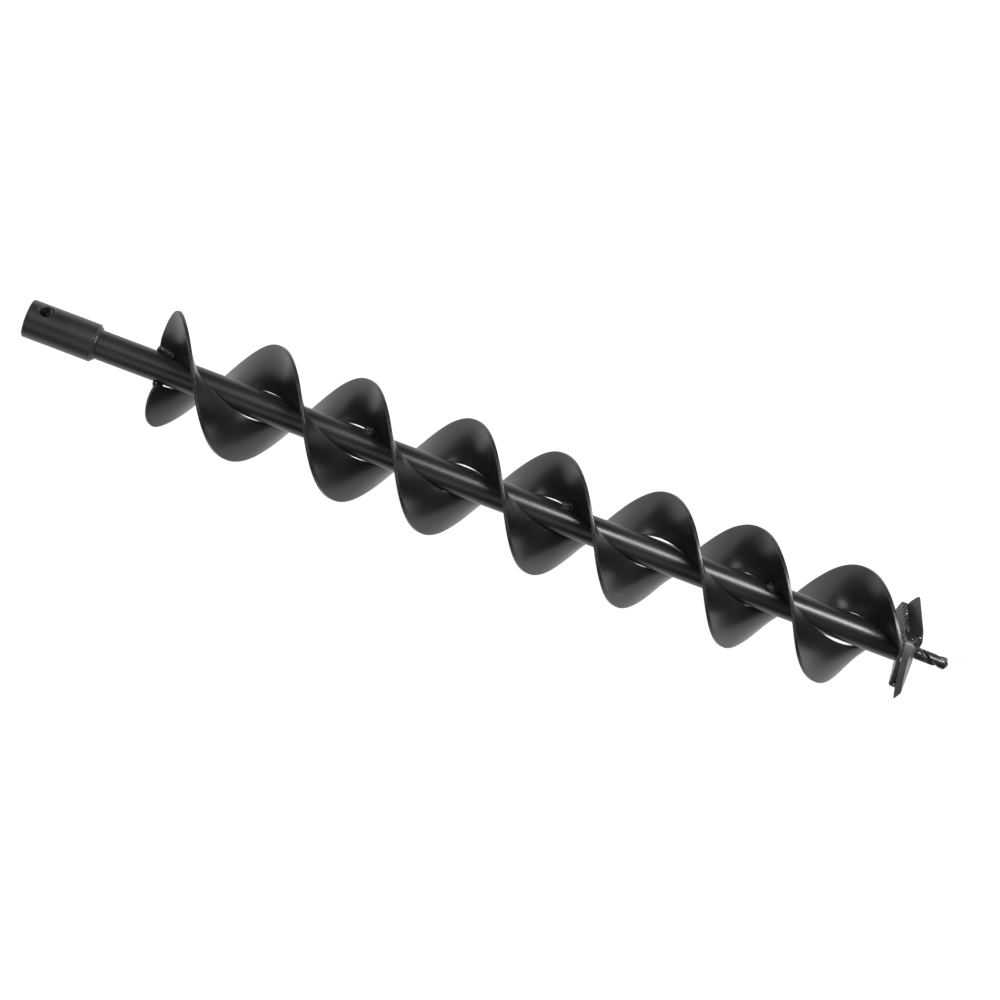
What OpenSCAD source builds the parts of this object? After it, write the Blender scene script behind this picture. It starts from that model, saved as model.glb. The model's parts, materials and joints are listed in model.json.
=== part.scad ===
// Double-start earth auger bit, lying along +X.
// The origin is the centre of the drive socket's mouth, the point is at +X and +Z is up.
// Angles around the shaft are measured from +Y towards +Z, so a flight climbs clockwise
// as seen from the socket: it is a right-handed screw.

/* [Drive socket] */
// Outside diameter of the drive socket
socket_d = 31.6; // [30:0.1:36]
// Length of the drive socket
socket_len = 58.5; // [50:0.5:70]
// Bore that takes the machine's drive shaft
drive_bore_d = 20; // [18:0.1:22]
// Depth of the drive bore, down to the end of the shaft tube
drive_bore_len = 42; // [35:0.5:46]
// Hole for the drive bolt, straight through both walls
bolt_hole_d = 10.5; // [8:0.1:12]
// Distance from the mouth to the middle of the bolt hole
bolt_hole_x = 14; // [11:0.5:20]
// Direction in which the bolt hole points, around the shaft
bolt_hole_angle = 49; // [0:1:180]
// Chamfer on the outside edges of the socket
socket_chamfer = 0.9; // [0.2:0.1:1.5]

/* [Shaft tube] */
// Outside diameter of the shaft tube
tube_d = 24.4; // [22:0.1:26]
// Wall of the shaft tube
tube_wall = 3; // [2:0.1:4]
// Where the shaft tube ends at the point
tube_end_x = 748.5; // [735:0.5:749]

/* [Flights] */
// Outside diameter of both flights
flight_d = 101.4; // [90:0.2:110]
// Diameter of the hole through the flights, a little over the tube
flight_hole_d = 26.6; // [26:0.1:28]
// Thickness of a flight, measured along the shaft
flight_t = 3; // [2:0.1:4]
// Rise of a flight in one whole turn
flight_pitch = 167.6; // [150:0.1:180]
// How far a flight's inner edge leads its outer edge towards the point, as a share of the distance
flight_lean = 0.19; // [0.1:0.01:0.25]
// Where flight A starts, along the shaft
flight_a_x = 107.1; // [100:0.1:112]
// Angle at which flight A starts
flight_a_angle = 168.5; // [160:0.5:175]
// Turn of flight A up to its flat end
flight_a_turn = 1364; // [1350:0.5:1367]
// Turn of flight A's flat end
flight_a_flat = 35.5; // [20:0.5:36]
// Lean of flight A at its very end
flight_a_end_lean = 0.05; // [0:0.01:0.08]
// Turn over which flight A's starting corner rises to the full diameter
flight_a_round = 42; // [25:1:50]
// Where flight B starts, along the shaft
flight_b_x = 100.3; // [95:0.1:110]
// Angle at which flight B starts
flight_b_angle = -9; // [-20:0.5:0]
// Turn of flight B up to its flat end
flight_b_turn = 1379; // [1360:0.5:1380]
// Turn of flight B's flat end
flight_b_flat = 25; // [20:1:26]
// Lean of flight B at its very end
flight_b_end_lean = 0.24; // [0.1:0.01:0.3]
// Turn over which flight B's starting corner rises to the full diameter
flight_b_round = 33; // [20:1:40]
// How far flight B runs ahead of its screw near the point, where its sheet was overstretched
flight_b_drift = 4.5; // [0:0.5:5]

/* [Blades] */
// Thickness of the two cutting blades
blade_t = 5.5; // [4:0.5:6]
// Inside radius of the blades
blade_in_r = 18.5; // [17:0.5:22]
// Outside radius of the blades
blade_out_r = 50; // [46:0.5:52]
// Turn that each blade covers
blade_turn = 62; // [50:1:64]
// Length of the bevel at the cutting edge
blade_bevel = 8; // [4:0.5:12]
// Angle of blade A's cutting edge
blade_a_angle = 145; // [140:1:150]
// Angle of blade B's cutting edge
blade_b_angle = 333; // [328:1:338]

/* [Pilot] */
// Diameter of the pilot drill's fluted part
pilot_d = 10; // [8:0.1:11]
// Diameter of the pilot drill's shank
pilot_shank_d = 8; // [6:0.1:8]
// Where the fluted part starts
pilot_flute_x = 764; // [762:0.5:770]
// Where the pilot drill ends, which is the auger's whole length
pilot_end_x = 790.5; // [780:0.5:810]

/* [Hidden] */
$fn = 64;

eps = 0.01;
socket_r = socket_d / 2;
tube_r = tube_d / 2;
tube_in_r = tube_r - tube_wall;
flight_r = flight_d / 2;
hole_r = flight_hole_d / 2;

// The flights are swept in steps of this many degrees.
flight_step = 4;
// On its flat end a flight climbs at this share of its pitch.
flat_share = 0.25;

// The lean of a flight's end builds up over this turn.
lean_turn = 45;

// The drift is largest after drift_mid of turn and fades out over drift_fade on both sides.
drift_mid = 1290;
drift_fade = 75;

// Bush in the end of the tube, and the nose that stands out of it
bush_in_len = 22;
bush_nose_r = 8;
bush_nose_len = 9.5;

// Where the plane of each blade's upper face crosses the shaft's axis, how much the blade
// climbs towards its cutting edge and how much its inner end leads its outer end
blade_a_x = 758.5;
blade_a_pitch = 16.4;
blade_a_cone = 5.4;
blade_b_x = 771.4;
blade_b_pitch = 18.5;
blade_b_cone = 19.6;
edge_land = 0.8;

// Chisel insert in the pilot's point
insert_t = 2;
insert_len = 7;
braze_t = 0.3;

// A flight's own numbers:
// [start, starting angle, turn, turn of the flat end, lean of the end, turn of the starting
// corner, drift]
flight_a_dims = [
    flight_a_x, flight_a_angle, flight_a_turn, flight_a_flat, flight_a_end_lean, flight_a_round,
    0,
];
flight_b_dims = [
    flight_b_x, flight_b_angle, flight_b_turn, flight_b_flat, flight_b_end_lean, flight_b_round,
    flight_b_drift,
];

// Radius of a weld blob, how far it lies behind the flight's middle along the shaft, and the
// turns of the tack welds after the start of each flight
weld_r = 4.2;
weld_back = 5;
tacks_a = [426.5, 786.5, 1146.5];
tacks_b = [399, 402.5 + 360, 422 + 720];

// ---------- shared shapes ----------

// Solid cylinder along +X, from x0 to x1
module rod(r, x0, x1) {
    translate([x0, 0, 0]) rotate([0, 90, 0]) cylinder(h = x1 - x0, r = r);
}

// Solid cone along +X
module taper(r0, r1, x0, x1) {
    translate([x0, 0, 0]) rotate([0, 90, 0]) cylinder(h = x1 - x0, r1 = r0, r2 = r1);
}

// Triangular fillet ring around the shaft: foot lengths along the shaft and outwards
module fillet_ring(r, x, along, out) {
    difference() {
        taper(r + out, r, x, x + along);
        rod(r, x - 1, x + along + 1);
    }
}

// ---------- flights ----------

// Turn of a whole flight f
function flight_full(f) = f[2] + f[3];

// Number of steps in a whole flight f
function flight_steps(f) = ceil(flight_full(f) / flight_step);

// How far flight f is ahead of its screw after turning by a
function drift_at(f, a) = f[6] * (0.5 + 0.5 * cos(180 * min(1, abs(a - drift_mid) / drift_fade)));

// Distance along the shaft of the outer edge's middle, after turning by a
function flight_run(f, a) =
    f[0] + flight_pitch / 360 * (min(a, f[2]) + flat_share * max(0, a - f[2])) + drift_at(f, a);

// Outside radius of flight f after turning by a: the starting corner is rounded off
function flight_out(f, a) =
    let(u = min(1, (a + 0.4) / f[5]))
    hole_r + (flight_r - hole_r) * pow(1 - (1 - u) * (1 - u), 0.6);

// How much the section leans after turning by a, as a share of the distance inwards
function lean_at(f, a) =
    let(u = max(0, 1 - (flight_full(f) - a) / lean_turn))
    flight_lean + (f[4] - flight_lean) * u * u * (3 - 2 * u);

// Distance along the shaft of a flight's middle after turning by a, at radius r
function flight_x(f, a, r) = flight_run(f, a) + lean_at(f, a) * (flight_r - r);

// Four corners of a flight's section after turning by a
function flight_ring(f, a) =
    let(
        c = cos(f[1] + a),
        s = sin(f[1] + a),
        r = flight_out(f, a),
        x_out = flight_x(f, a, r),
        x_in = flight_x(f, a, hole_r)
    )
    [
        [x_in - flight_t / 2, hole_r * c, hole_r * s],
        [x_in + flight_t / 2, hole_r * c, hole_r * s],
        [x_out + flight_t / 2, r * c, r * s],
        [x_out - flight_t / 2, r * c, r * s],
    ];

// Closed stretch of a flight from step k0 to step k1
module flight_stretch(f, k0, k1) {
    n = k1 - k0;
    turn_step = flight_full(f) / flight_steps(f);
    points = [for (k = [k0:k1]) each flight_ring(f, k * turn_step)];
    sides = [
        for (k = [0:n - 1], j = [0:3])
            let(p = 4 * k + j, q = 4 * k + (j + 1) % 4)
            each [[p, p + 4, q], [q, p + 4, q + 4]]
    ];
    ends = [[0, 1, 2], [0, 2, 3], [4 * n, 4 * n + 2, 4 * n + 1], [4 * n, 4 * n + 3, 4 * n + 2]];
    polyhedron(points = points, faces = concat(sides, ends), convexity = 20);
}

// The stretch of a flight around one turn a after its start
module flight_near(f, a, steps) {
    k = round(a / flight_full(f) * flight_steps(f));
    flight_stretch(f, max(0, k - steps), min(flight_steps(f), k + steps));
}

// The last stretch of a flight, which meets its blade
module flight_tail(f, steps) {
    flight_stretch(f, flight_steps(f) - steps, flight_steps(f));
}

module flight_a() {
    color("#1c1c1e") flight_stretch(flight_a_dims, 0, flight_steps(flight_a_dims));
}

module flight_b() {
    color("#1c1c1e") flight_stretch(flight_b_dims, 0, flight_steps(flight_b_dims));
}

// ---------- shaft ----------

module drive_socket() {
    color("#202022") difference() {
        union() {
            taper(socket_r - socket_chamfer, socket_r, 0, socket_chamfer);
            rod(socket_r, socket_chamfer, socket_len - socket_chamfer);
            taper(socket_r, socket_r - socket_chamfer, socket_len - socket_chamfer, socket_len);
        }
        rod(drive_bore_d / 2, -1, drive_bore_len + eps);
        rod(tube_r, drive_bore_len, socket_len + 1);
        translate([bolt_hole_x, 0, 0]) rotate([bolt_hole_angle - 90, 0, 0])
            translate([0, 0, -socket_d]) cylinder(h = 2 * socket_d, d = bolt_hole_d);
    }
}

module socket_weld() {
    color("#2a2a2c") fillet_ring(tube_r, socket_len, 2.2, socket_r - socket_chamfer - tube_r - 0.6);
}

module shaft_tube() {
    color("#202022") difference() {
        rod(tube_r, drive_bore_len, tube_end_x);
        rod(tube_in_r, drive_bore_len - 1, tube_end_x + 1);
    }
}

module tip_bush() {
    color("#26262a") difference() {
        union() {
            rod(tube_in_r, tube_end_x - bush_in_len, tube_end_x);
            rod(bush_nose_r, tube_end_x, tube_end_x + bush_nose_len);
        }
        rod(pilot_shank_d / 2, tube_end_x - bush_in_len - 1, tube_end_x + bush_nose_len + 1);
    }
}

module tip_bush_weld() {
    color("#2a2a2c") fillet_ring(bush_nose_r, tube_end_x, 3.2, 3.2);
}

// ---------- welds along the flights ----------

// One blob of weld metal in the corner between the tube and a flight's socket side, before
// the tube and the flight are cut out
module weld_blob(f, a, r) {
    translate([flight_x(f, a, hole_r) - weld_back, 0, 0]) rotate([f[1] + a, 0, 0])
        translate([0, hole_r - 0.3, 0]) sphere(r = r, $fn = 20);
}

// Bead along the first few millimetres of a flight
module start_weld(f) {
    difference() {
        for (k = [0:3])
            weld_blob(f, 8 + 7.5 * k, weld_r - 0.2 * k);
        rod(tube_r, f[0] - 20, f[0] + 50);
        flight_near(f, 20, 12);
    }
}

// Tack welds of one flight
module tack_welds(f, turns) {
    for (a = turns) difference() {
        weld_blob(f, a, weld_r + 0.2);
        rod(tube_r, flight_x(f, a, hole_r) - 20, flight_x(f, a, hole_r) + 20);
        flight_near(f, a, 7);
    }
}

module flight_a_start_weld() {
    color("#2a2a2c") start_weld(flight_a_dims);
}

module flight_b_start_weld() {
    color("#2a2a2c") start_weld(flight_b_dims);
}

module flight_a_tack_welds() {
    color("#2a2a2c") tack_welds(flight_a_dims, tacks_a);
}

module flight_b_tack_welds() {
    color("#2a2a2c") tack_welds(flight_b_dims, tacks_b);
}

// ---------- blades ----------

// Puts a blade's own frame in place: own +Y points outwards along the cutting edge,
// own +Z is the way the blade moves through the soil, and own +X is the underside.
module place_blade(x, angle, pitch, cone) {
    translate([x, 0, 0]) rotate([angle, 0, 0]) rotate([0, pitch, cone]) children();
}

// The blade's own plate before it is turned to the flights' diameter: a wedge that reaches
// back from the cutting edge
module blade_wedge() {
    reach = 2 * blade_out_r;
    rotate([0, 90, 0]) linear_extrude(height = blade_t) polygon([
        [0, 0],
        [0, reach],
        [reach * sin(blade_turn / 2), reach * cos(blade_turn / 2)],
        [reach * sin(blade_turn), reach * cos(blade_turn)],
    ]);
}

// What the bevel takes off the underside at the cutting edge
module bevel_cut() {
    reach = 2 * blade_out_r;
    translate([edge_land, 0, 0]) rotate([0, atan2(blade_bevel, blade_t - edge_land), 0])
        translate([-reach, -reach, 0]) cube(2 * reach);
}

// Flat ring sector with a bevelled, radial cutting edge
module blade(x, angle, pitch, cone) {
    difference() {
        intersection() {
            rod(blade_out_r, x - 50, x + 30);
            place_blade(x, angle, pitch, cone) blade_wedge();
        }
        rod(blade_in_r, x - 51, x + 31);
        place_blade(x, angle, pitch, cone) bevel_cut();
    }
}

module blade_a_body() {
    blade(blade_a_x, blade_a_angle, blade_a_pitch, blade_a_cone);
}

module blade_b_body() {
    blade(blade_b_x, blade_b_angle, blade_b_pitch, blade_b_cone);
}

module blade_a() {
    color("#1c1c1e") blade_a_body();
}

module blade_b() {
    color("#1c1c1e") blade_b_body();
}

// One end of a weld bead at the shaft's x, as a many-sided ball
module weld_drop(x, r, angle, ball_r) {
    translate([x, 0, 0]) rotate([angle, 0, 0]) translate([0, r, 0]) sphere(r = ball_r, $fn = 12);
}

// Bead along a flight's end edge, where the flight is welded onto the blade that is passed in
module seam_weld(f) {
    end = flight_full(f);
    difference() {
        hull() for (r = [22, 46])
            weld_drop(flight_x(f, end, r) + flight_t / 2, r, f[1] + end + 1, 2.6);
        flight_tail(f, 8);
        children();
    }
}

module blade_a_seam_weld() {
    color("#2a2a2c") seam_weld(flight_a_dims) blade_a_body();
}

module blade_b_seam_weld() {
    color("#2a2a2c") seam_weld(flight_b_dims) blade_b_body();
}

// Weld metal between a blade's inner edge and the nose of the bush, laid against the end of
// flight f and the blade that is passed in
module root_weld(f, x_blade, angle) {
    x_nose = tube_end_x + 6.5;
    root_r = 3.6;
    difference() {
        hull() {
            weld_drop(x_nose, 9, angle, root_r);
            weld_drop(x_blade, blade_in_r + 1, angle, root_r);
        }
        rod(tube_r, tube_end_x - 20, tube_end_x);
        rod(bush_nose_r, tube_end_x - 1, tube_end_x + bush_nose_len);
        tip_bush_weld();
        flight_tail(f, 10);
        children();
    }
}

module blade_a_root_weld() {
    color("#2a2a2c")
        root_weld(flight_a_dims, 760, blade_a_angle - blade_turn / 2) blade_a_body();
}

module blade_b_root_weld() {
    color("#2a2a2c")
        root_weld(flight_b_dims, 766, blade_b_angle - blade_turn / 2) blade_b_body();
}

// ---------- pilot ----------

// Slot for the chisel insert, across the pilot's point
module insert_slot(extra) {
    translate([pilot_end_x - insert_len - extra, -pilot_d, -insert_t / 2 - extra])
        cube([2 * insert_len, 2 * pilot_d, insert_t + 2 * extra]);
}

// Outline of the drill's point, turned around the axis
module pilot_round() {
    rod(pilot_d / 2, pilot_flute_x, pilot_end_x - 2.2);
    taper(pilot_d / 2, 2.2, pilot_end_x - 2.2, pilot_end_x);
}

// One flute, as a row of round grooves that wind around the drill
module flute(start) {
    groove_r = 2.6;
    lead = 40;
    for (k = [0:2.5:pilot_end_x - pilot_flute_x])
        translate([pilot_flute_x + 1 + k, 0, 0]) rotate([start + 360 * k / lead, 0, 0])
            translate([0, pilot_d / 2 + 0.7, 0]) sphere(r = groove_r, $fn = 16);
}

module pilot_drill() {
    color("#3a3a3e") difference() {
        union() {
            rod(pilot_shank_d / 2, tube_end_x - bush_in_len + 2, pilot_flute_x - 3);
            taper(pilot_shank_d / 2, pilot_d / 2, pilot_flute_x - 3, pilot_flute_x);
            pilot_round();
        }
        flute(0);
        flute(180);
        insert_slot(braze_t);
    }
}

module insert_braze() {
    color("#8a6f4e") difference() {
        intersection() {
            insert_slot(braze_t);
            pilot_round();
        }
        insert_slot(0);
    }
}

module pilot_insert() {
    color("#9a9a98") intersection() {
        insert_slot(0);
        pilot_round();
    }
}

drive_socket();
socket_weld();
shaft_tube();
tip_bush();
tip_bush_weld();
flight_a();
flight_b();
flight_a_start_weld();
flight_b_start_weld();
flight_a_tack_welds();
flight_b_tack_welds();
blade_a();
blade_b();
blade_a_seam_weld();
blade_b_seam_weld();
blade_a_root_weld();
blade_b_root_weld();
pilot_drill();
pilot_insert();
insert_braze();
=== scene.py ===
import json
import math
from collections import namedtuple

import bmesh
import bpy
import numpy as np
from mathutils import Matrix, Vector, noise


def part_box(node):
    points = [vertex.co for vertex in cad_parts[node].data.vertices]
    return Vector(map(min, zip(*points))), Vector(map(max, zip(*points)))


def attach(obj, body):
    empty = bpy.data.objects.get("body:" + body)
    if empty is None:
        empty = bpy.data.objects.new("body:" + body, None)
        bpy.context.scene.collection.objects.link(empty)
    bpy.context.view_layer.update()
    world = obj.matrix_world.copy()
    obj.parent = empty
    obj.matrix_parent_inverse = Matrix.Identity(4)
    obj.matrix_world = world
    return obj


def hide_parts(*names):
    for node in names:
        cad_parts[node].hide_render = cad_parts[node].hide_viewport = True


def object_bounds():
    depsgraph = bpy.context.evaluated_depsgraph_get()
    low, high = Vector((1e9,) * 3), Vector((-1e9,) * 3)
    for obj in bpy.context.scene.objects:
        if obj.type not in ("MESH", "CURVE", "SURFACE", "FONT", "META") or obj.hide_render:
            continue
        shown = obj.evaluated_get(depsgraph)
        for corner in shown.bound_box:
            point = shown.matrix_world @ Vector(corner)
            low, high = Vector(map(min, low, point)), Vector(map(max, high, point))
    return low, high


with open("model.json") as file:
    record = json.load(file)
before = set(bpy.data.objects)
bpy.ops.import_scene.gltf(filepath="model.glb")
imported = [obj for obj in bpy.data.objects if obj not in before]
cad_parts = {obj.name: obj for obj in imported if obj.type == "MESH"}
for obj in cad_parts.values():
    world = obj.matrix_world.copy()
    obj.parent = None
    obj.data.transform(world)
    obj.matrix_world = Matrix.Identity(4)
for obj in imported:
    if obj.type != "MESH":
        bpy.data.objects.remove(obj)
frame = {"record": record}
CAD_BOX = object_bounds()

# A soil auger that lies on a white floor. Lengths are millimetres and angles are degrees. +X runs
# along the shaft to the pilot's point, and angles around the shaft go from +Y towards +Z.
MM = 0.001


# ---------- sizes ----------


def box_mm(node):
    """Lowest and highest corner of a CAD node, in millimetres."""
    low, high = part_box(node)
    return low / MM, high / MM


SOCKET_END, SOCKET_R, _ = box_mm("drive_socket")[1]
TUBE_START = box_mm("shaft_tube")[0].x
TUBE_END, TUBE_R, _ = box_mm("shaft_tube")[1]
FLIGHT_R = box_mm("flight_a")[1].z
NOSE_END = box_mm("tip_bush")[1].x
PILOT_START = box_mm("pilot_drill")[0].x
PILOT_END, PILOT_R, _ = box_mm("pilot_drill")[1]
INSERT_START = box_mm("pilot_insert")[0].x

DRIVE_BORE, BOLT_HOLE = frame["record"]["mounts"]
BORE_R = DRIVE_BORE["dims"]["r_mm"]
BORE_LEN = DRIVE_BORE["dims"]["length_mm"]
BOLT_R = BOLT_HOLE["dims"]["r_mm"]
BOLT_X = BOLT_HOLE["pos_m"][0] / MM
BOLT_AXIS = Vector(BOLT_HOLE["axis"])
COUNTERSINK = 1.9
MOUTH_CHAMFER = 1.1
REAR_CHAMFER = 0.9
BORE_CHAMFER = 0.6
TUBE_WALL = 3
NOSE_R = 8
BUSH_LEN = 22

# The pilot: a thin shank, and a thicker part with two flutes
SHANK_R = 4
PILOT_FLUTE = 764
PILOT_LEAD = 40
PILOT_STEP = 3
FLUTE_R = 3.35
FLUTE_OFF = 1.15
POINT_LEN = 2.2
POINT_R = 2.2
INSERT_ANGLE = 55

# The flights' screw, as in the CAD model. The inner edge leads the outer edge by a share of the
# distance between them, and that lean changes over the last LEAN_TURN. A flat end climbs at
# FLAT_SHARE of the pitch. The drift, where a flight runs ahead of its screw, is largest at
# DRIFT_MID and fades out to both sides.
FLIGHT_PITCH = 167.6
FLIGHT_HOLE_R = 13.3
FLIGHT_HALF = 1.45
FLIGHT_EDGE = 0.5
FLAT_SHARE = 0.25
LEAN = 0.19
LEAN_TURN = 45
DRIFT_MID = 1290
DRIFT_FADE = 75
Flight = namedtuple("Flight", "x angle turn flat end_lean round drift gaps")

# The gaps are those between the tube and the flight's inner edge, one for each half turn around
# the shaft: the sheet was never pulled evenly against the tube.
GAPS_A = (0.3, 1.0, 0.45, 0.6, 1.0, 0, 1.5, 0.15, 0.3, 0.8)
GAPS_B = (0.4, 0.8, 0.9, 0.1, 0.85, 0.45, 0.2, 2.1, 0.8)
FLIGHT_A = Flight(107.1, 168.5, 1364, 35.5, 0.05, 42, 0, GAPS_A)
FLIGHT_B = Flight(100.3, -9, 1379, 25, 0.24, 33, 4.5, GAPS_B)

# The blades, as in the CAD model. In a blade's own frame +Y points outwards along the cutting
# edge, +Z is the way the blade moves and +X goes through the plate to its underside.
BLADE_T = 5.5
BLADE_IN_R = 18.5
BLADE_R = 50
BLADE_TURN = 62
BLADE_BEVEL = 8
EDGE_LAND = 0.8
Blade = namedtuple("Blade", "x angle pitch cone")
BLADE_A = Blade(758.5, 145, 16.4, 5.4)
BLADE_B = Blade(771.4, 333, 18.5, 19.6)


# ---------- mesh tools ----------


def around(x, r, angle):
    """A point at distance x along the shaft and r from its axis."""
    a = math.radians(angle)
    return Vector((x, r * math.cos(a), r * math.sin(a)))


def grid_faces(rows, cols, closed_rows=False):
    """Quads over rows of points; each row is a closed ring, and the last row can meet the first."""
    faces = []
    for i in range(rows if closed_rows else rows - 1):
        for j in range(cols):
            k, m = (i + 1) % rows, (j + 1) % cols
            faces.append((i * cols + j, k * cols + j, k * cols + m, i * cols + m))
    return faces


def capped_faces(rows, cols):
    """Quads around a run of closed rings, with a face over each end."""
    faces = grid_faces(rows, cols)
    faces.append(tuple(range(cols)))
    faces.append(tuple(range((rows - 1) * cols, rows * cols)))
    return faces


def smooth(u):
    """Turns a straight ramp from 0 to 1 into an eased one."""
    return u * u * (3 - 2 * u)


def hold_inside(p, radius):
    """Pulls a point in to a cylinder around the shaft if it is outside it."""
    out = math.hypot(p.y, p.z)
    if out > radius:
        p.y *= radius / out
        p.z *= radius / out


def new_object(name, points, faces):
    """A mesh object from points in millimetres."""
    mesh = bpy.data.meshes.new(name)
    mesh.from_pydata([tuple(Vector(p) * MM) for p in points], [], faces)
    obj = bpy.data.objects.new(name, mesh)
    bpy.context.scene.collection.objects.link(obj)
    tidy = bmesh.new()
    tidy.from_mesh(mesh)
    bmesh.ops.recalc_face_normals(tidy, faces=tidy.faces)
    tidy.to_mesh(mesh)
    tidy.free()
    return obj


def bake_modifiers(obj):
    """Makes the modifiers' result the object's own mesh."""
    graph = bpy.context.evaluated_depsgraph_get()
    mesh = bpy.data.meshes.new_from_object(obj.evaluated_get(graph))
    obj.modifiers.clear()
    obj.data = mesh


def store_edges(obj, values):
    """Stores how much of an edge each point is, from 0 to 1, for the materials' wear."""
    layer = obj.data.attributes.new("edge", "FLOAT", "POINT")
    layer.data.foreach_set("value", values)


def mark_edges(obj, strength):
    """Stores the same from a function of each point's place in millimetres."""
    store_edges(obj, [strength(v.co / MM) for v in obj.data.vertices])


def finish_piece(obj, nodes, material, sharp=40):
    """Smooth shading, a material, and the CAD nodes that the piece stands for."""
    obj.data.materials.clear()
    obj.data.materials.append(material)
    obj.data.shade_smooth()
    obj.data.set_sharp_from_angle(angle=math.radians(sharp))
    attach(obj, "root")
    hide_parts(*nodes)


def soften(corners, steps=5):
    """A closed outline of (along, out, corner radius), with each corner turned into an arc."""
    outline = []
    for i, (x, y, r) in enumerate(corners):
        here = Vector((x, y))
        before = (Vector(corners[i - 1][:2]) - here).normalized()
        after = (Vector(corners[(i + 1) % len(corners)][:2]) - here).normalized()
        if not r:
            outline.append(here)
            continue
        half = before.angle(after) / 2
        centre = here + (before + after).normalized() * r / math.sin(half)
        first = here + before * r / math.tan(half) - centre
        last = here + after * r / math.tan(half) - centre
        for k in range(steps + 1):
            outline.append(centre + first.slerp(last, k / steps).normalized() * r)
    return outline


def lathe(name, outline, steps, wobble=None):
    """Turns a closed outline of (along, out) around the shaft."""
    points = []
    for i in range(steps):
        for x, r in outline:
            p = around(x, r, 360 * i / steps)
            points.append(wobble(p) if wobble else p)
    return new_object(name, points, grid_faces(steps, len(outline), closed_rows=True))


def cut(obj, cutter):
    """Cuts one object out of another."""
    how = obj.modifiers.new("cut", "BOOLEAN")
    how.operation = "DIFFERENCE"
    how.solver = "EXACT"
    how.object = cutter
    bake_modifiers(obj)
    bpy.data.objects.remove(cutter)


# ---------- materials ----------

PAINT_IOR = 1.45


def node_tools(name):
    """A material with a Principled shader, and short helpers that add and link nodes to it."""
    material = bpy.data.materials.new(name)
    material.use_nodes = True
    tree = material.node_tree
    shader = tree.nodes["Principled BSDF"]

    def add(kind, links=(), **values):
        node = tree.nodes.new(kind)
        for key, value in values.items():
            if hasattr(node, key):
                setattr(node, key, value)
            else:
                node.inputs[key.replace("_", " ")].default_value = value
        for socket, source in dict(links).items():
            tree.links.new(source, node.inputs[socket])
        return node

    def to_shader(socket, source):
        tree.links.new(source, shader.inputs[socket])

    return material, shader, add, to_shader


def object_noise(add, scale, detail, rough, stretch=(1, 1, 1)):
    """Noise in the object's own space; scale is in features per metre."""
    place = add("ShaderNodeTexCoord")
    sized = add("ShaderNodeMapping", {"Vector": place.outputs["Object"]}, Scale=stretch)
    return add(
        "ShaderNodeTexNoise",
        {"Vector": sized.outputs["Vector"]},
        Scale=scale,
        Detail=detail,
        Roughness=rough,
    ).outputs["Fac"]


def spread(add, source, low, high, out_low, out_high):
    """Maps one range of a value to another, held at its ends."""
    return add(
        "ShaderNodeMapRange",
        {"Value": source},
        From_Min=low,
        From_Max=high,
        To_Min=out_low,
        To_Max=out_high,
    ).outputs["Result"]


def blend_colors(add, factor, a, b):
    """Colour a, or the output of another blend, turning into colour b as the factor grows."""
    node = add("ShaderNodeMix", {"Factor": factor}, data_type="RGBA")
    first, second = node.inputs[6], node.inputs[7]
    if isinstance(a, tuple):
        first.default_value = (*a, 1)
    else:
        node.id_data.links.new(a, first)
    second.default_value = (*b, 1)
    return node.outputs[2]


def product(add, a, b):
    """One value times another."""
    return add("ShaderNodeMath", {0: a, 1: b}, operation="MULTIPLY").outputs[0]


def edge_value(add):
    """How much of an edge a place is, from 0 to 1."""
    return add("ShaderNodeAttribute", attribute_name="edge").outputs["Fac"]


def layered_bump(add, to_shader, layers):
    """Bump from several heights, each given as (height, depth in millimetres)."""
    normal = None
    for height, depth in layers:
        links = {"Height": height}
        if normal:
            links["Normal"] = normal
        normal = add("ShaderNodeBump", links, Strength=1.0, Distance=depth * MM).outputs["Normal"]
    to_shader("Normal", normal)


def powder_coat(name, base, worn, rough=(0.27, 0.36), swell=0.05, dust=0.5):
    """Baked black paint: orange peel, slow swells, faint handling dust, and thin paint on edges."""
    material, shader, add, to_shader = node_tools(name)
    cloud = object_noise(add, 22, 4, 0.6)
    fine = object_noise(add, 420, 3, 0.6)
    specks = object_noise(add, 2600, 2, 0.6)
    faded = spread(add, cloud, 0.35, 0.7, 0, 1)
    tone = blend_colors(add, faded, base, tuple(c * 1.35 for c in base))
    dusty = product(add, spread(add, fine, 0.56, 0.8, 0, dust), spread(add, cloud, 0.4, 0.65, 0, 1))
    tone = blend_colors(add, dusty, tone, tuple(c * 2.4 + 0.004 for c in base))
    chipped = product(add, edge_value(add), spread(add, fine, 0.42, 0.62, 0, 0.5))
    tone = blend_colors(add, chipped, tone, worn)
    to_shader("Base Color", tone)
    to_shader("Roughness", spread(add, cloud, 0.3, 0.72, *rough))
    swells = object_noise(add, 28, 2, 0.4)
    peel = object_noise(add, 700, 2, 0.5)
    layered_bump(add, to_shader, [(swells, swell), (peel, 0.011), (specks, 0.002)])
    shader.inputs["IOR"].default_value = PAINT_IOR
    return material


def weld_coat(name):
    """Paint pooled over weld metal: glossy, with pits and spatter."""
    material, shader, add, to_shader = node_tools(name)
    cloud = object_noise(add, 160, 3, 0.6)
    thick = spread(add, cloud, 0.4, 0.75, 0, 1)
    to_shader("Base Color", blend_colors(add, thick, (0.009, 0.009, 0.0095), (0.026, 0.024, 0.023)))
    to_shader("Roughness", spread(add, cloud, 0.3, 0.7, 0.16, 0.32))
    lumps = object_noise(add, 420, 3, 0.5)
    pits = object_noise(add, 1300, 3, 0.6)
    layered_bump(add, to_shader, [(lumps, 0.12), (pits, 0.03)])
    shader.inputs["IOR"].default_value = 1.55
    return material


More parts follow.
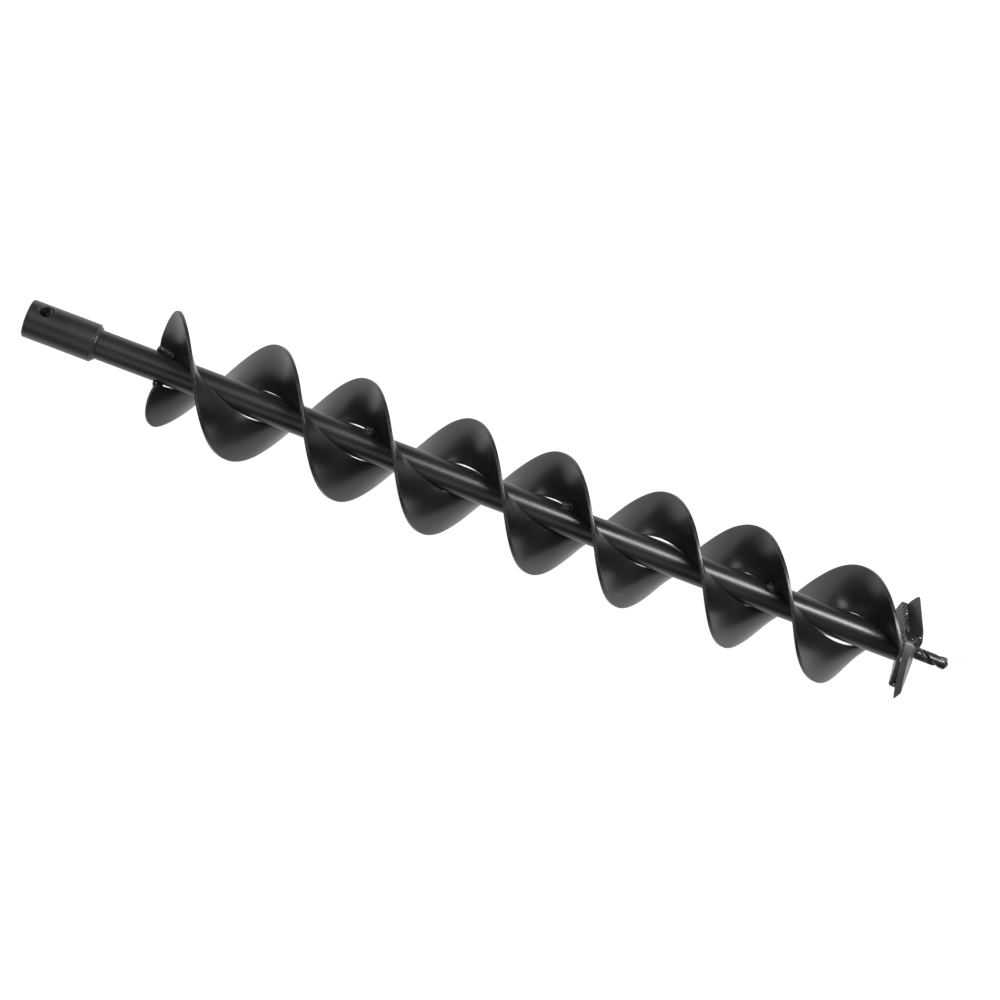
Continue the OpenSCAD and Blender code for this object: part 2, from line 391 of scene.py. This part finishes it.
def blade_coat(name):
    """Thin paint over ground plate: mill streaks show through, with rust starting at the edges."""
    material, shader, add, to_shader = node_tools(name)
    cloud = object_noise(add, 45, 4, 0.62)
    streaks = object_noise(add, 240, 4, 0.6, (1, 0.15, 1))
    thin = spread(add, cloud, 0.35, 0.68, 0, 1)
    tone = blend_colors(add, thin, (0.022, 0.0215, 0.024), (0.048, 0.046, 0.05))
    patches = spread(add, object_noise(add, 130, 5, 0.7), 0.52, 0.7, 0, 0.7)
    rusty = product(add, edge_value(add), patches)
    to_shader("Base Color", blend_colors(add, rusty, tone, (0.07, 0.035, 0.03)))
    to_shader("Roughness", spread(add, streaks, 0.3, 0.7, 0.32, 0.46))
    grain = object_noise(add, 900, 3, 0.6)
    layered_bump(add, to_shader, [(cloud, 0.12), (streaks, 0.02), (grain, 0.008)])
    shader.inputs["IOR"].default_value = PAINT_IOR
    return material


def black_oxide(name):
    """Blackened drill steel, brighter where the lands rub."""
    material, shader, add, to_shader = node_tools(name)
    cloud = object_noise(add, 150, 4, 0.6)
    grind = object_noise(add, 900, 3, 0.6, (3, 0.4, 0.4))
    worn = product(add, edge_value(add), spread(add, cloud, 0.35, 0.6, 0.1, 0.9))
    faded = spread(add, cloud, 0.35, 0.7, 0, 1)
    tone = blend_colors(add, faded, (0.016, 0.016, 0.018), (0.04, 0.037, 0.036))
    to_shader("Base Color", blend_colors(add, worn, tone, (0.13, 0.115, 0.105)))
    to_shader("Roughness", spread(add, grind, 0.3, 0.7, 0.24, 0.4))
    layered_bump(add, to_shader, [(grind, 0.012), (cloud, 0.03)])
    shader.inputs["Metallic"].default_value = 0.55
    return material


def hard_metal(name):
    """Ground tungsten carbide with fine grinding lines."""
    material, shader, add, to_shader = node_tools(name)
    lines = object_noise(add, 3200, 2, 0.5, (0.2, 1, 1))
    cloud = object_noise(add, 500, 3, 0.6)
    dull = spread(add, cloud, 0.35, 0.7, 0, 1)
    to_shader("Base Color", blend_colors(add, dull, (0.4, 0.37, 0.34), (0.2, 0.18, 0.165)))
    to_shader("Roughness", spread(add, lines, 0.3, 0.7, 0.22, 0.4))
    layered_bump(add, to_shader, [(lines, 0.004)])
    shader.inputs["Metallic"].default_value = 1.0
    return material


def braze_metal(name):
    """Tarnished brazing filler, brown where the flux burned."""
    material, shader, add, to_shader = node_tools(name)
    cloud = object_noise(add, 700, 4, 0.65)
    burned = spread(add, cloud, 0.38, 0.66, 0, 1)
    to_shader("Base Color", blend_colors(add, burned, (0.5, 0.36, 0.28), (0.2, 0.12, 0.085)))
    to_shader("Roughness", spread(add, cloud, 0.3, 0.7, 0.25, 0.5))
    layered_bump(add, to_shader, [(cloud, 0.05)])
    shader.inputs["Metallic"].default_value = 0.9
    return material


SHAFT_COAT = powder_coat("shaft_powder_coat", (0.0078, 0.0076, 0.0086), (0.05, 0.048, 0.046))
SOCKET_COAT = powder_coat(
    "socket_powder_coat",
    (0.0095, 0.0093, 0.0105),
    (0.06, 0.056, 0.052),
    rough=(0.3, 0.4),
    dust=0.8,
)
FLIGHT_COAT = powder_coat(
    "flight_powder_coat",
    (0.0062, 0.006, 0.0068),
    (0.04, 0.037, 0.034),
    rough=(0.28, 0.35),
    swell=0.09,
)
WELD_COAT = weld_coat("weld_coat")
BLADE_COAT = blade_coat("blade_coat")
PILOT_STEEL = black_oxide("pilot_black_oxide")
CARBIDE = hard_metal("ground_carbide")
BRAZE = braze_metal("tarnished_braze")


# ---------- shaft ----------


def hole_rim(p):
    """1 at the rim of the bolt hole, falling off around it."""
    centre = Vector((BOLT_X, 0, 0))
    off = (p - centre) - BOLT_AXIS * (p - centre).dot(BOLT_AXIS)
    return max(0.0, 1 - abs(off.length - BOLT_R - 0.8) / 1.6)


def bolt_hole_cutter(steps=64):
    """A rod through both walls that flares out where it leaves them."""
    flare = [
        (-SOCKET_R - 3, BOLT_R + COUNTERSINK),
        (-SOCKET_R - 0.1, BOLT_R + COUNTERSINK),
        (-SOCKET_R + COUNTERSINK, BOLT_R),
        (SOCKET_R - COUNTERSINK, BOLT_R),
        (SOCKET_R + 0.1, BOLT_R + COUNTERSINK),
        (SOCKET_R + 3, BOLT_R + COUNTERSINK),
    ]
    points = []
    for x, r in flare:
        points += [around(x, r, 360 * i / steps) for i in range(steps)]
    cutter = new_object("bolt_hole_cutter", points, capped_faces(len(flare), steps))
    turn = Vector((1, 0, 0)).rotation_difference(BOLT_AXIS).to_matrix().to_4x4()
    cutter.matrix_world = Matrix.Translation((BOLT_X * MM, 0, 0)) @ turn
    bpy.context.view_layer.update()
    return cutter


def drive_socket():
    """Turned socket with chamfered rims, a stepped bore and a countersunk bolt hole."""
    outline = soften(
        [
            (0, BORE_R + BORE_CHAMFER, 0.15),
            (0, SOCKET_R - MOUTH_CHAMFER, 0.4),
            (MOUTH_CHAMFER, SOCKET_R, 0.5),
            (SOCKET_END - REAR_CHAMFER, SOCKET_R, 0.35),
            (SOCKET_END, SOCKET_R - REAR_CHAMFER, 0.25),
            (SOCKET_END, TUBE_R, 0),
            (BORE_LEN, TUBE_R, 0),
            (BORE_LEN, BORE_R, 0),
            (BORE_CHAMFER, BORE_R, 0.15),
        ]
    )
    stations = []
    for a, b in zip(outline, outline[1:] + outline[:1]):
        count = max(1, int((b - a).length // 3))
        stations += [a.lerp(b, k / count) for k in range(count)]
    socket = lathe("drive_socket_body", stations, 192)
    cut(socket, bolt_hole_cutter())

    def worn(p):
        r = math.hypot(p.y, p.z)
        rims = max(1 - abs(p.x) / 1.2, 1 - abs(p.x - SOCKET_END) / 1.2, 0)
        return min(1, max(rims * (r > TUBE_R + 1), hole_rim(p)))

    mark_edges(socket, worn)
    finish_piece(socket, ["drive_socket"], SOCKET_COAT, 32)


def shaft_tube():
    """The tube, a shade uneven along its length as drawn tube is."""
    stations = np.arange(TUBE_START, TUBE_END, 4).tolist()
    outline = [(x, TUBE_R) for x in stations] + [(TUBE_END - 0.4, TUBE_R), (TUBE_END, TUBE_R - 0.4)]
    outline += [(TUBE_END, TUBE_R - TUBE_WALL), (TUBE_START, TUBE_R - TUBE_WALL)]

    def uneven(p):
        dent = noise.noise(Vector((p.x / 45, p.y / 14, p.z / 14)))
        r = math.hypot(p.y, p.z)
        share = 1 - 0.03 * (1 + dent) / TUBE_R if r > TUBE_R - 0.1 else 1
        return Vector((p.x, p.y * share, p.z * share))

    tube = lathe("shaft_tube_body", outline, 128, uneven)
    mark_edges(tube, lambda p: max(0, 1 - abs(p.x - TUBE_END) / 1.5))
    finish_piece(tube, ["shaft_tube"], SHAFT_COAT)


def weld_ring(name, node, x, r, along, out, ripples, depth, material):
    """A hand-laid fillet weld all the way around the shaft."""
    per_ripple = 8
    steps = ripples * per_ripple
    section = 10
    points = []
    for i in range(steps):
        angle = 360 * i / steps
        phase = (i % per_ripple) / per_ripple
        pulse = 1 - depth * (2 * phase - 1) ** 2 + 0.12 * noise.noise(Vector((i / 9, x, 0)))
        for k in range(section):
            a = math.pi / 2 * k / (section - 1)
            points.append(
                around(
                    x + along * pulse * math.sin(a) ** 1.2,
                    r + out * pulse * math.cos(a) ** 1.2,
                    angle + 0.5 * math.sin(2 * a),
                )
            )
        points.append(around(x - 0.3, r - 0.4, angle))
    ring = new_object(name, points, grid_faces(steps, section + 1, closed_rows=True))
    finish_piece(ring, [node], material, 80)


def tip_bush():
    """The bush's nose, which stands out of the tube and holds the pilot."""
    start = TUBE_END - BUSH_LEN
    outline = soften(
        [
            (start, SHANK_R, 0),
            (start, TUBE_R - TUBE_WALL, 0),
            (TUBE_END, TUBE_R - TUBE_WALL, 0),
            (TUBE_END, NOSE_R, 0),
            (NOSE_END, NOSE_R, 0.9),
            (NOSE_END, SHANK_R, 0.3),
        ]
    )
    bush = lathe("tip_bush_body", outline, 96)
    mark_edges(bush, lambda p: max(0, 1 - abs(p.x - NOSE_END) / 1.5))
    finish_piece(bush, ["tip_bush"], SHAFT_COAT)


# ---------- flights ----------


def flight_full(f):
    """A flight's whole turn."""
    return f.turn + f.flat


def flight_run(f, a):
    """How far along the shaft the flight's outer edge is after a turn of a."""
    climb = min(a, f.turn) + FLAT_SHARE * max(0, a - f.turn)
    fade = min(1, abs(a - DRIFT_MID) / DRIFT_FADE)
    return f.x + FLIGHT_PITCH / 360 * climb + f.drift * (0.5 + 0.5 * math.cos(math.pi * fade))


def flight_out(f, a):
    """Outside radius: the starting corner is rounded off."""
    u = min(1, (a + 0.4) / f.round)
    return FLIGHT_HOLE_R + (FLIGHT_R - FLIGHT_HOLE_R) * (1 - (1 - u) ** 2) ** 0.6


def lean_at(f, a):
    """The inner edge's lead over the outer edge, as a share of the distance between them."""
    u = max(0, 1 - (flight_full(f) - a) / LEAN_TURN)
    return LEAN + (f.end_lean - LEAN) * smooth(u)


def flight_in(f, a):
    """Inside radius: the tube's own, and a gap that changes from half turn to half turn."""
    place = (f.angle + a) / 180
    k = min(max(int(math.floor(place)), 0), len(f.gaps) - 2)
    u = smooth(min(max(place - k, 0), 1))
    return TUBE_R + f.gaps[k] * (1 - u) + f.gaps[k + 1] * u


def flight_x(f, a, r):
    return flight_run(f, a) + lean_at(f, a) * (FLIGHT_R - r)


def flight_middle(f, a, r):
    """A point on the middle of the flight's sheet."""
    return around(flight_x(f, a, r), r, f.angle + a)


def flight_normal(f, a, r):
    """Which way the flight's tip side faces."""
    step = 0.5
    along = flight_middle(f, a + step, r) - flight_middle(f, a - step, r)
    out = flight_middle(f, a, r + step) - flight_middle(f, a, r - step)
    n = out.cross(along).normalized()
    return n if n.x > 0 else -n


def section_places(r_in, r_out, faces=16):
    """A flight's section as (radius, side, edge): two flat faces and two rounded edges."""
    corner = []
    for a in np.radians((25, 50, 72, 90)):
        drop = FLIGHT_EDGE / FLIGHT_HALF * (1 - math.cos(a))
        corner.append((FLIGHT_EDGE * math.sin(a), 1 - drop))
    low = r_in + FLIGHT_EDGE
    high = r_out - FLIGHT_EDGE
    width = r_out - r_in - 2 * FLIGHT_EDGE
    places = [(low + width * k / faces, 1, 0) for k in range(faces + 1)]
    places += [(high + s, w, 1) for s, w in corner]
    places += [(r_out, 0, 1)]
    places += [(high + s, -w, 1) for s, w in reversed(corner)]
    places += [(high - width * k / faces, -1, 0) for k in range(faces + 1)]
    places += [(low - s, -w, 0.5) for s, w in corner]
    places += [(low - s, w, 0.5) for s, w in reversed(corner)]
    return places


def flight_piece(name, f, node):
    """A flight as rolled sheet: even thickness, rounded edges and a slight waviness."""
    full = flight_full(f)
    rounded = np.arange(0, f.round, 0.75)
    plain = np.arange(f.round, full - LEAN_TURN, 2)
    leaning = np.arange(full - LEAN_TURN, full, 1)
    turns = np.concatenate([rounded, plain, leaning, [full]])
    points = []
    edges = []
    for a in turns:
        r_out = flight_out(f, a)
        r_in = min(flight_in(f, a), r_out - 2)
        rounding = min(1, (a + 0.35) / 1.6, (full - a + 0.35) / 1.2)
        for r, side, rim in section_places(r_in, r_out):
            middle = flight_middle(f, a, r)
            normal = flight_normal(f, a, r)
            wave = 0.22 * noise.noise(Vector((a / 26, r / 17, f.angle)))
            fade = min(1, a / 40, (full - a) / 40)
            p = middle + normal * (side * FLIGHT_HALF * math.sqrt(rounding) + wave * fade)
            hold_inside(p, FLIGHT_R)
            points.append(p)
            edges.append(rim)
    flight = new_object(name, points, capped_faces(len(turns), len(points) // len(turns)))
    store_edges(flight, edges)
    finish_piece(flight, [node], FLIGHT_COAT, 50)


# ---------- welds ----------


def blob_piece(name, node, balls, ripple, voxel=0.42):
    """Weld metal: balls of (centre, radii) melted into one rough skin."""
    points = []
    faces = []
    for centre, radii in balls:
        ball = bmesh.new()
        bmesh.ops.create_icosphere(ball, subdivisions=3, radius=1)
        start = len(points)
        points += [Vector(centre) + Vector(v.co[i] * radii[i] for i in range(3)) for v in ball.verts]
        faces += [tuple(start + v.index for v in face.verts) for face in ball.faces]
        ball.free()
    blob = new_object(name, points, faces)
    melt = blob.modifiers.new("melt", "REMESH")
    melt.mode = "VOXEL"
    melt.voxel_size = voxel * MM
    ease = blob.modifiers.new("ease", "SMOOTH")
    ease.factor = 0.5
    ease.iterations = 5
    bake_modifiers(blob)
    normals = [v.normal.copy() for v in blob.data.vertices]
    for v, n in zip(blob.data.vertices, normals):
        p = v.co / MM
        push = noise.noise(p / 2.1) + 0.5 * noise.noise(p / 0.9)
        v.co += n * (push * ripple * MM)
    finish_piece(blob, [node], WELD_COAT, 180)


def start_weld(name, f, turns, node):
    """Bead along the first millimetres of a flight, laid in overlapping drops."""
    balls = []
    for k, a in enumerate(turns):
        size = 4.1 - 0.1 * k + 0.3 * math.sin(2.3 * k + f.angle)
        centre = flight_middle(f, a, FLIGHT_HOLE_R + 0.2) - Vector((2.4, 0, 0))
        balls.append((centre, (size * 0.62, size * 0.8, size * 0.8)))
    blob_piece(name, node, balls, 0.35)


def tack_welds(name, f, turns, node):
    """Short tack welds in the corner on the socket side, each with a raised crater rim."""
    balls = []
    for n, a in enumerate(turns):
        centre = flight_middle(f, a, FLIGHT_HOLE_R + 0.6) - Vector((4.6, 0, 0))
        out = Vector((-0.45, *centre.yz.normalized())).normalized()
        side = out.cross(Vector((1, 0, 0))).normalized()
        along = side.cross(out)
        balls.append((centre - out * 1.2, (5.2, 4.2, 4.2)))
        balls.append((centre + along * 3.2 - out * 1.4, (3, 2.8, 2.8)))
        balls.append((centre - along * 3 - side * 1.4 - out * 1.2, (2.8, 2.4, 2.4)))
        for k in range(9):
            swing = math.tau * (k + 0.3 * n) / 9
            rim = along * math.cos(swing) * 3.7 + side * math.sin(swing) * 2.8
            size = 1.05 + 0.3 * math.sin(2.7 * k + n)
            balls.append((centre + rim + out * 1.9, (size, size, size)))
    blob_piece(name, node, balls, 0.22, 0.36)


# ---------- blades ----------


def blade_matrix(b):
    """From a blade's own frame to the auger's."""
    turn = Matrix.Rotation(math.radians(b.angle), 3, "X")
    pitch = Matrix.Rotation(math.radians(b.pitch), 3, "Y")
    cone = Matrix.Rotation(math.radians(b.cone), 3, "Z")
    return turn @ cone @ pitch


def reach(m, depth, start, direction, radius):
    """Goes from start along direction, in the blade's plane, until radius from the shaft's axis."""
    p = m @ Vector((depth, *start))
    d = m @ Vector((0, *direction))
    aa = d.y**2 + d.z**2
    bb = p.y * d.y + p.z * d.z
    cc = p.y**2 + p.z**2 - radius**2
    t = (-bb + math.sqrt(bb * bb - aa * cc)) / aa
    return Vector((start[0] + direction[0] * t, start[1] + direction[1] * t))


def sweep(m, depth, first, last, steps, radius):
    """Places at one radius from the shaft's axis, between two angles in the blade's plane."""
    places = []
    for k in steps:
        a = math.radians(first + (last - first) * k / steps[-1])
        places.append(reach(m, depth, (0, 0), (math.cos(a), -math.sin(a)), radius))
    return places


def blade_outline(m, depth, count=220):
    """The blade's outline at one depth under its upper face, with its corners rounded off."""
    back = -BLADE_BEVEL * max(0, depth - EDGE_LAND) / (BLADE_T - EDGE_LAND)
    inner = reach(m, depth, (0, back), (1, 0), BLADE_IN_R)
    outer = reach(m, depth, (0, back), (1, 0), BLADE_R)
    first = math.degrees(math.atan2(-outer.y, outer.x))
    last = math.degrees(math.atan2(-inner.y, inner.x))
    sides = [inner.lerp(outer, k / 40) for k in range(41)]
    sides += sweep(m, depth, first, BLADE_TURN, range(1, 41), BLADE_R)
    sides += sweep(m, depth, BLADE_TURN, last, range(41), BLADE_IN_R)
    lengths = [0.0]
    for p, q in zip(sides, sides[1:]):
        lengths.append(lengths[-1] + (q - p).length)
    even = []
    for k in range(count):
        want = lengths[-1] * k / count
        i = max(j for j in range(len(lengths)) if lengths[j] <= want)
        i = min(i, len(sides) - 2)
        gap = max(lengths[i + 1] - lengths[i], 1e-6)
        even.append(sides[i].lerp(sides[i + 1], (want - lengths[i]) / gap))
    for _ in range(9):
        even = [(even[k - 1] + 2 * even[k] + even[(k + 1) % count]) / 4 for k in range(count)]
    return even


def inset(outline, amount, share):
    """Moves a closed outline inwards by an amount, then by a share of the way to its centre."""
    centre = sum(outline, Vector((0, 0))) / len(outline)
    moved = []
    for k, p in enumerate(outline):
        along = (outline[(k + 1) % len(outline)] - outline[k - 1]).normalized()
        side = Vector((-along.y, along.x))
        if side.dot(centre - p) < 0:
            side = -side
        moved.append((p + side * amount).lerp(centre, share))
    return moved


def blade_piece(name, b, node):
    """A bevelled plate with eased edges and slightly uneven faces."""
    m = blade_matrix(b)
    flats = (0.97, 0.85, 0.7, 0.55, 0.4, 0.25, 0.12, 0.04)
    layers = [(0, 0.45, share) for share in flats]
    layers += [(0, 0.45, 0), (0.1, 0.14, 0)]
    layers += [(depth, 0, 0) for depth in (0.42, 0.8, 1.6, 2.8, 4.0, 5.0)]
    layers += [(5.4, 0.14, 0), (BLADE_T, 0.45, 0)]
    layers += [(BLADE_T, 0.45, share) for share in reversed(flats)]
    points = []
    edges = []
    for depth, pulled, share in layers:
        most = 1 if depth < EDGE_LAND else 0.6
        for p in inset(blade_outline(m, depth), pulled, share):
            sag = 0.12 * noise.noise(Vector((p.x / 8, p.y / 8, b.x)))
            q = m @ Vector((depth + sag * min(1, share / 0.25), p.x, p.y)) + Vector((b.x, 0, 0))
            hold_inside(q, BLADE_R)
            points.append(q)
            edges.append(max(0, most - 4 * share))
    blade = new_object(name, points, capped_faces(len(layers), len(points) // len(layers)))
    store_edges(blade, edges)
    finish_piece(blade, [node], BLADE_COAT, 28)


def seam_weld(name, f, ahead, node):
    """Uneven bead along a flight's end edge, between it and the blade."""
    end = flight_full(f)
    balls = []
    for k in range(27):
        r = BLADE_IN_R + 1 + 1.1 * k
        uneven = 0.3 * noise.noise(Vector((k / 2, f.angle, 0)))
        size = 1.8 + 0.2 * math.sin(1.9 * k + f.angle) + uneven
        turn = end + 1 + 0.9 * math.sin(2.1 * k)
        p = around(flight_x(f, end, r) + ahead, r, f.angle + turn)
        balls.append((p, (size + ahead, size, size)))
    blob_piece(name, node, balls, 0.3)


def root_weld(name, node, x_nose, x_blade, angle):
    """Heavy weld between a blade's inner edge and the bush's nose."""
    count = 7
    r_nose = NOSE_R + 1
    r_blade = BLADE_IN_R + 1
    balls = []
    for k in range(count):
        u = k / (count - 1)
        x = x_nose + (x_blade - x_nose) * u
        p = around(x, r_nose + (r_blade - r_nose) * u, angle + 4 * math.sin(2.2 * k))
        size = 2.5 + 0.35 * math.sin(1.7 * k + angle)
        balls.append((p, (size, size, size)))
    blob_piece(name, node, balls, 0.3)


# ---------- pilot ----------


def flute_radius(x, angle, full):
    """Radius of the fluted drill's section: two round flutes wound around the core."""
    run = x - PILOT_FLUTE
    depth = min(1, max(0, (run + 1) / 4))
    turn = 20 + 360 * run / PILOT_LEAD
    off = (angle - turn + 90) % 180 - 90
    centre = PILOT_R + FLUTE_OFF + (1 - depth) * 2.4
    swing = centre * math.sin(math.radians(off))
    if abs(swing) >= FLUTE_R or abs(off) > 60:
        return full
    return min(full, centre * math.cos(math.radians(off)) - math.sqrt(FLUTE_R**2 - swing**2))


def pilot_outline(x):
    """Outside radius of the pilot at one place along the shaft."""
    if x < PILOT_FLUTE - PILOT_STEP:
        return SHANK_R
    if x < PILOT_FLUTE:
        return SHANK_R + (PILOT_R - SHANK_R) * (x - PILOT_FLUTE + PILOT_STEP) / PILOT_STEP
    return min(PILOT_R, POINT_R + (PILOT_R - POINT_R) * (PILOT_END - x) / POINT_LEN)


def pilot_drill():
    """Shank and two-flute drill with its point, as one turned and ground piece."""
    steps = 120
    shank = [PILOT_START, TUBE_END]
    fluted = np.arange(PILOT_FLUTE - 8, PILOT_END - 2.4, 0.5)
    point = np.linspace(PILOT_END - POINT_LEN, PILOT_END, 6)
    stations = [*shank, *fluted, *point]
    points = []
    edges = []
    for x in stations:
        full = pilot_outline(x)
        for i in range(steps):
            angle = 360 * i / steps
            r = near = full
            if x > PILOT_FLUTE - 1:
                r = flute_radius(x, angle, full)
                near = min(flute_radius(x, angle + d, full) for d in (-9, 9))
            points.append(around(x, r, angle))
            edges.append(1.0 if r == full and near < full - 0.3 else 0.0)
    drill = new_object("pilot_drill_body", points, capped_faces(len(stations), steps))
    store_edges(drill, edges)
    finish_piece(drill, ["pilot_drill"], PILOT_STEEL, 38)


def tip_plate(name, node, material, half_t, start, margin):
    """A plate across the pilot's point, cut to the point's own outline and ground to a chisel."""
    chisel = 1.6
    turn = Matrix.Rotation(math.radians(INSERT_ANGLE), 3, "X")
    stations = np.linspace(start, PILOT_END, 14)
    points = []
    for x in stations:
        w = pilot_outline(x) - margin
        left = PILOT_END - x
        thin = half_t if left > chisel else half_t * (0.35 + 0.65 * left / chisel)
        corner = min(0.25, thin * 0.4)
        section = [
            (w, -thin + corner), (w, thin - corner), (w - corner, thin), (-w + corner, thin),
            (-w, thin - corner), (-w, -thin + corner), (-w + corner, -thin), (w - corner, -thin),
        ]
        points += [turn @ Vector((x, y, z)) for y, z in section]
    plate = new_object(name, points, capped_faces(len(stations), 8))
    finish_piece(plate, [node], material, 30)


# ---------- stage ----------


FLOOR_HALF = 20000
FLOOR_MIDDLE = (0.404, 0, 0)
FLOOR_GLOW_NEAR = 1.0
FLOOR_GLOW_FAR = 0.15
WORLD_LIGHT = 0.15

# The camera looks almost straight down, turned so that the shaft runs down to the right.
CAMERA_ROLL = 20.687
CAMERA_LEAN = -1.2365
CAMERA_DISTANCE = 2200
CAMERA_AIM = Vector((404.37, 0, 0))
CAMERA_SHIFT = Vector((0, -3.283, 0))
CAMERA_LENS = 98.48


def glowing_floor():
    """A floor that glows as a painted pool of light: white under and around the auger, so no shadow
    of the auger shows on it, and dimmer further out.
    """
    z = CAD_BOX[0].z / MM
    ways = ((-1, -1), (1, -1), (1, 1), (-1, 1))
    corners = [(x * FLOOR_HALF, y * FLOOR_HALF, z) for x, y in ways]
    floor = new_object("floor", corners, [(0, 1, 2, 3)])
    material, shader, add, to_shader = node_tools("floor_painted_glow")
    shader.inputs["Base Color"].default_value = (0.1, 0.1, 0.1, 1)
    shader.inputs["Roughness"].default_value = 0.9
    shader.inputs["Emission Color"].default_value = (1, 1, 1, 1)
    place = add("ShaderNodeTexCoord").outputs["Object"]
    off = add("ShaderNodeVectorMath", {0: place}, operation="SUBTRACT")
    off.inputs[1].default_value = FLOOR_MIDDLE
    far = add("ShaderNodeVectorMath", {0: off.outputs[0]}, operation="LENGTH").outputs["Value"]
    # Painted light: the floor's own glow is full within 0.6 m of the middle and falls off by 0.8 m,
    # which washes out the auger's cast shadow.
    to_shader("Emission Strength", spread(add, far, 0.6, 0.8, FLOOR_GLOW_NEAR, FLOOR_GLOW_FAR))
    floor.data.materials.append(material)


def soft_box(name, place, aim, size, power):
    """A rectangular lamp; its long side lies along the shaft as far as its aim lets it."""
    lamp = bpy.data.objects.new(name, bpy.data.lights.new(name, "AREA"))
    lamp.data.shape = "RECTANGLE"
    lamp.data.size, lamp.data.size_y = size[0] * MM, size[1] * MM
    lamp.data.energy = power
    bpy.context.scene.collection.objects.link(lamp)
    back = (Vector(place) - Vector(aim)).normalized()
    across = Vector((1, 0, 0))
    across = (across - back * across.dot(back)).normalized()
    up = back.cross(across)
    rotation = Matrix((across, up, back)).transposed().to_4x4()
    lamp.matrix_world = Matrix.Translation(Vector(place) * MM) @ rotation


def studio_light():
    """Dim white surroundings, one strong soft box above the point and four weak ones."""
    world = bpy.data.worlds.new("studio")
    bpy.context.scene.world = world
    world.use_nodes = True
    surroundings = world.node_tree.nodes["Background"]
    surroundings.inputs["Color"].default_value = (1, 1, 1, 1)
    surroundings.inputs["Strength"].default_value = WORLD_LIGHT
    soft_box("key", (930, 660, 1260), (560, 0, 0), (1000, 480), 38)
    soft_box("side_fill", (200, -900, 1150), (300, 0, 0), (1100, 800), 2.5)
    soft_box("left_fill", (-150, 350, 1350), (100, 0, 0), (700, 600), 1.4)
    soft_box("back_light", (-700, 750, 850), (400, 0, 0), (500, 500), 5)
    soft_box("low_fill", (-500, -800, 600), (400, 0, 0), (900, 700), 0.8)


def camera_above():
    """The camera, with its own axes leaned and rolled over the auger."""
    roll = Matrix.Rotation(math.radians(CAMERA_ROLL), 3, "Z")
    lean = Matrix.Rotation(math.radians(CAMERA_LEAN), 3, "Y")
    basis = lean @ roll
    aim = CAMERA_AIM + basis @ CAMERA_SHIFT
    camera = bpy.data.objects.new("camera", bpy.data.cameras.new("camera"))
    bpy.context.scene.collection.objects.link(camera)
    place = (aim + basis @ Vector((0, 0, CAMERA_DISTANCE))) * MM
    camera.matrix_world = Matrix.Translation(place) @ basis.to_4x4()
    camera.data.sensor_width = 36
    camera.data.lens = CAMERA_LENS
    bpy.context.scene.camera = camera
    bpy.context.scene.view_settings.view_transform = "Standard"


# ---------- the auger ----------

drive_socket()
weld_ring("socket_weld_bead", "socket_weld", SOCKET_END, TUBE_R, 2.2, 2.1, 26, 0.04, SOCKET_COAT)
shaft_tube()
tip_bush()
weld_ring("tip_bush_weld_bead", "tip_bush_weld", TUBE_END, NOSE_R, 3.2, 3.2, 18, 0.09, WELD_COAT)
flight_piece("flight_a_sheet", FLIGHT_A, "flight_a")
flight_piece("flight_b_sheet", FLIGHT_B, "flight_b")
start_weld("flight_a_start_bead", FLIGHT_A, np.arange(5, 14, 2.8), "flight_a_start_weld")
start_weld("flight_b_start_bead", FLIGHT_B, np.arange(6, 34, 3.4), "flight_b_start_weld")
tack_welds("flight_a_tack_beads", FLIGHT_A, (426.5, 786.5, 1146.5), "flight_a_tack_welds")
tack_welds("flight_b_tack_beads", FLIGHT_B, (399, 762.5, 1142), "flight_b_tack_welds")
blade_piece("blade_a_plate", BLADE_A, "blade_a")
blade_piece("blade_b_plate", BLADE_B, "blade_b")
seam_weld("blade_a_seam_bead", FLIGHT_A, 2.3, "blade_a_seam_weld")
seam_weld("blade_b_seam_bead", FLIGHT_B, 0.8, "blade_b_seam_weld")
root_weld("blade_a_root_bead", "blade_a_root_weld", TUBE_END + 4, 757.5, 120)
root_weld("blade_b_root_bead", "blade_b_root_weld", TUBE_END + 4.5, 764.5, 306)
pilot_drill()
tip_plate("pilot_insert_plate", "pilot_insert", CARBIDE, 1.0, INSERT_START, 0)
tip_plate("insert_braze_seam", "insert_braze", BRAZE, 1.3, INSERT_START - 0.3, 0.05)
glowing_floor()
studio_light()
camera_above()
